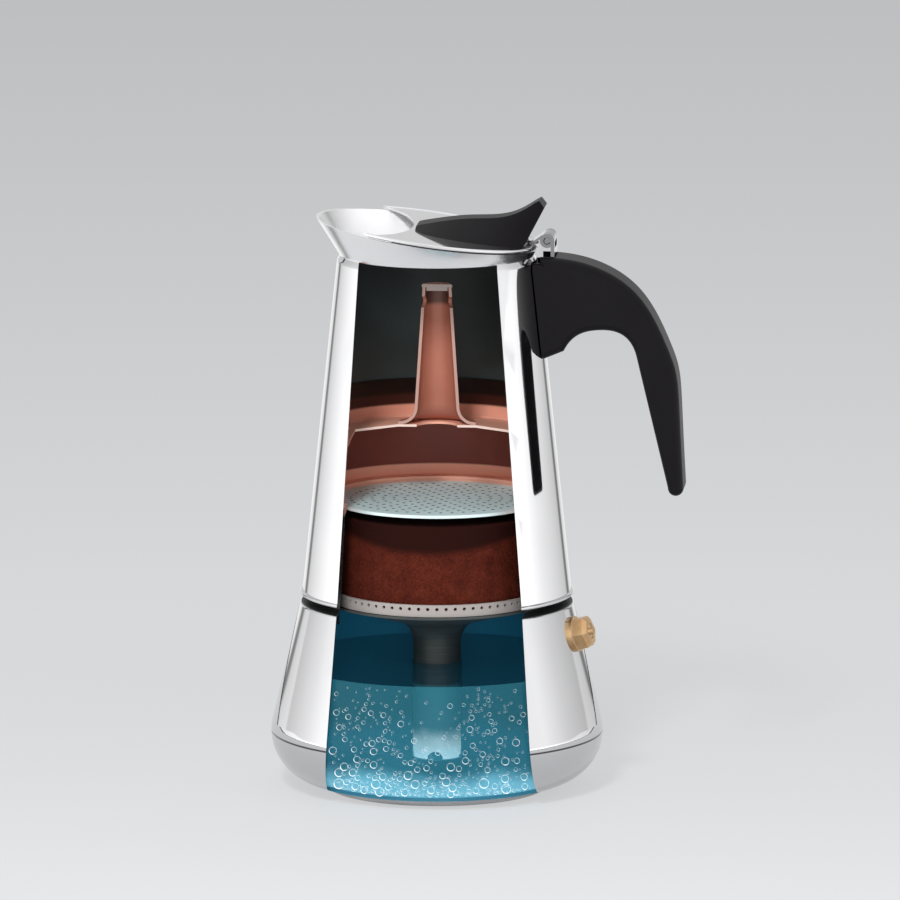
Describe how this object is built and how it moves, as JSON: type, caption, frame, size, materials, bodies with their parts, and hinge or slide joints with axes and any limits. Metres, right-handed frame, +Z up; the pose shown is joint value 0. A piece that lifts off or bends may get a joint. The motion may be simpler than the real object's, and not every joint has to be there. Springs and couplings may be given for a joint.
{
  "type": "moka pot",
  "caption": "Stovetop coffee maker in section: boiler with funnel and safety valve, screw-on conical vessel with column, spout, hinged lid and side handle.",
  "frame": {"origin": "on the pot's axis, on the underside of the base", "axes": "+Z up along the pot's axis, +X towards the handle, -X towards the spout, -Y towards the section window"},
  "size_m": [0.1383, 0.1097, 0.1986],
  "materials": {
    "polished_steel": "mirror-polished stainless steel",
    "plain_steel": "plain stainless steel",
    "sieve_steel": "satin perforated stainless steel",
    "copper_tone": "satin, copper-toned",
    "black_nylon": "satin black heat-resistant plastic",
    "valve_brass": "machined brass",
    "seal_rubber": "matte silicone",
    "ground_coffee": "fine dark-brown grounds",
    "clear_water": "clear blue-tinted fill with bubbles"
  },
  "bodies": {
    "boiler": {"boiler_shell": "polished_steel", "base_plate": "plain_steel", "boiler_neck": "plain_steel", "funnel": "plain_steel", "funnel_sieve": "sieve_steel", "coffee_bed": "ground_coffee", "water_fill": "clear_water", "valve_body": "valve_brass", "valve_washer": "seal_rubber", "valve_nut": "valve_brass", "valve_cap": "valve_brass", "valve_spring": "plain_steel"},
    "valve_plunger": {"valve_plunger": "valve_brass"},
    "seal": {"gasket": "seal_rubber", "filter_plate": "sieve_steel"},
    "vessel": {"vessel_shell": "polished_steel", "spout_collar": "polished_steel", "thread_ring": "plain_steel", "collector": "copper_tone", "column": "copper_tone", "column_cap": "plain_steel", "hinge_bracket": "plain_steel", "hinge_pin": "plain_steel", "handle": "black_nylon", "handle_screw": "plain_steel"},
    "lid": {"lid_plate": "polished_steel", "lid_hinge_leaf": "plain_steel", "lid_grip": "black_nylon", "grip_screws": "plain_steel"}
  },
  "joints": [
    {"name": "vessel_lift", "type": "slide", "parent": "boiler", "child": "seal", "axis": [0, 0, 1], "range_m": [0, 0.008]},
    {"name": "vessel_turn", "type": "hinge", "parent": "seal", "child": "vessel", "pos_m": [0, 0, 0], "axis": [0, 0, 1], "range_deg": [0, 720]},
    {"name": "lid_hinge", "type": "hinge", "parent": "vessel", "child": "lid", "pos_m": [0.03719, 0, 0.1854], "axis": [0, 1, 0], "range_deg": [0, 110]},
    {"name": "valve_pop", "type": "slide", "parent": "boiler", "child": "valve_plunger", "axis": [0.9397, -0.2518, 0.2313], "range_m": [0, 0.0015], "stiffness_N_per_m": 600, "springref_m": -0.003, "deforming": ["valve_spring"]}
  ],
  "couplings": [
    {"joint": "vessel_lift", "follows": "vessel_turn", "m_per_rad": 0.00063662}
  ]
}
